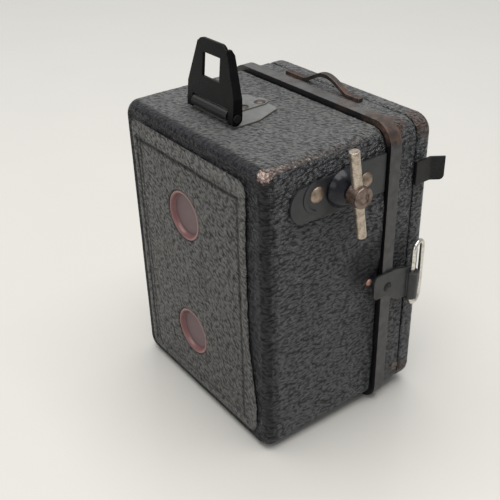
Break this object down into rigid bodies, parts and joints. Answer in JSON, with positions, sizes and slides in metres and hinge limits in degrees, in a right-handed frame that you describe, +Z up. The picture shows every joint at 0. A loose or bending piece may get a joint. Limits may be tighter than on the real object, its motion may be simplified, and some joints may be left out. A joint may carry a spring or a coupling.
{
  "type": "box camera",
  "caption": "Small metal box camera for roll film: hinged halves in a rim band, folding frame finder, winding key, rotary shutter and meniscus lens, covered in black leatherette.",
  "frame": {"origin": "on the flat underside of the rim band, x at the middle of the body, y at the parting plane of the two halves", "axes": "+Z up through the height, the lens looks along -Y, the back with its two red windows faces +Y, the winding key is on the -X side"},
  "size_m": [0.0716, 0.0553, 0.0998],
  "materials": {
    "painted_steel": "black stove enamel inside and out, worn at edges",
    "leatherette": "black grained leatherette, greyed and slightly glossy, rubbed along edges",
    "panel_leatherette": "black grained leatherette with a greenish grey bloom",
    "red_celluloid": "faded red celluloid, dusty",
    "gloss_black": "glossy black enamel",
    "nickel": "worn nickel plate with brown pitting",
    "brown_nickel": "nickel worn through to brown tarnished brass",
    "rim_steel": "dark grey painted steel with rust along its edges",
    "plate_steel": "thin black paint on sheet steel, rubbed grey",
    "rusty_steel": "dark steel strip, rusted brown",
    "spring_steel": "bare spring steel",
    "brass": "bare brass",
    "inside_black": "matt black anti-reflection paint",
    "spool_black": "black japanned spool",
    "glass": "polished crown glass"
  },
  "bodies": {
    "rear_half": {"rear_shell": "painted_steel", "leather_wrap": "leatherette", "back_panel": "panel_leatherette", "red_window_upper": "red_celluloid", "red_window_lower": "red_celluloid", "key_plate": "plate_steel", "key_rivets": "brown_nickel", "key_bush": "gloss_black", "finder_base": "plate_steel", "finder_rivets": "brown_nickel", "finder_spring": "spring_steel", "finder_pin": "spring_steel", "latch_stud": "brown_nickel", "carrier_cheek_left": "inside_black", "carrier_cheek_right": "inside_black", "film_gate": "inside_black", "guide_bars": "nickel", "light_cone": "inside_black", "carrier_front": "inside_black", "spool_pins": "brass", "supply_spring": "spring_steel", "pressure_plate": "inside_black", "pressure_spring": "spring_steel", "hinge_rear_leaf": "plate_steel", "hinge_rivets": "brown_nickel", "hinge_pin": "spring_steel"},
    "finder": {"finder_frame": "gloss_black"},
    "key_slider": {"key_collar": "brass", "key_spring": "spring_steel"},
    "winding_key": {"key_shaft": "brown_nickel", "key_bar": "nickel"},
    "spool": {"takeup_spool": "spool_black"},
    "front_half": {"rim": "rim_steel", "front_section": "painted_steel", "front_leather": "leatherette", "front_cap": "painted_steel", "cap_leather": "leatherette", "lens_mount": "gloss_black", "lens": "glass", "lens_ring": "gloss_black", "aperture_plate": "inside_black", "shutter_board": "inside_black", "board_screws": "spring_steel", "shutter_pivot": "brass", "shutter_spring": "spring_steel", "lever_pivot": "brass", "strap_loop": "rusty_steel", "lug_plate": "plate_steel", "lug_rivet": "plate_steel", "seam_screws": "brown_nickel", "hinge_front_leaf": "plate_steel"},
    "shutter": {"shutter_disc": "painted_steel"},
    "lever": {"release_lever": "gloss_black"},
    "ring": {"strap_ring": "nickel"}
  },
  "joints": [
    {"name": "front_swing", "type": "hinge", "parent": "rear_half", "child": "front_half", "pos_m": [0.0324, 0.0043, 0.0414], "axis": [0, 0, 1], "range_deg": [0, 100]},
    {"name": "finder_fold", "type": "hinge", "parent": "rear_half", "child": "finder", "pos_m": [0.0031, 0.0283, 0.0838], "axis": [1, 0, 0], "range_deg": [-6, 84]},
    {"name": "key_pull", "type": "slide", "parent": "rear_half", "child": "key_slider", "axis": [-1, 0, 0], "range_m": [0, 0.0022], "stiffness_N_per_m": 400, "springref_m": -0.004, "deforming": ["key_spring"]},
    {"name": "key_turn", "type": "hinge", "parent": "key_slider", "child": "winding_key", "pos_m": [-0.03, 0.0167, 0.0717], "axis": [1, 0, 0], "continuous": true},
    {"name": "spool_turn", "type": "hinge", "parent": "rear_half", "child": "spool", "pos_m": [0.0031, 0.0167, 0.0717], "axis": [1, 0, 0], "continuous": true},
    {"name": "lever_press", "type": "hinge", "parent": "front_half", "child": "lever", "pos_m": [-0.012, -0.0078, 0.06], "axis": [0, 1, 0], "range_deg": [-20, 0], "stiffness_Nm_per_rad": 0.004, "springref_deg": 20.05, "deforming": ["shutter_spring"]},
    {"name": "shutter_turn", "type": "hinge", "parent": "front_half", "child": "shutter", "pos_m": [0.0031, -0.00285, 0.0304], "axis": [0, 1, 0], "range_deg": [-92, 0]},
    {"name": "ring_swing", "type": "hinge", "parent": "front_half", "child": "ring", "pos_m": [-0.03205, -0.00775, 0.0378], "axis": [0, 0, 1], "range_deg": [-178, 0]}
  ],
  "couplings": [
    {"joint": "key_turn", "follows": "spool_turn", "ratio": 1},
    {"joint": "shutter_turn", "follows": "lever_press", "ratio": 4.6}
  ]
}
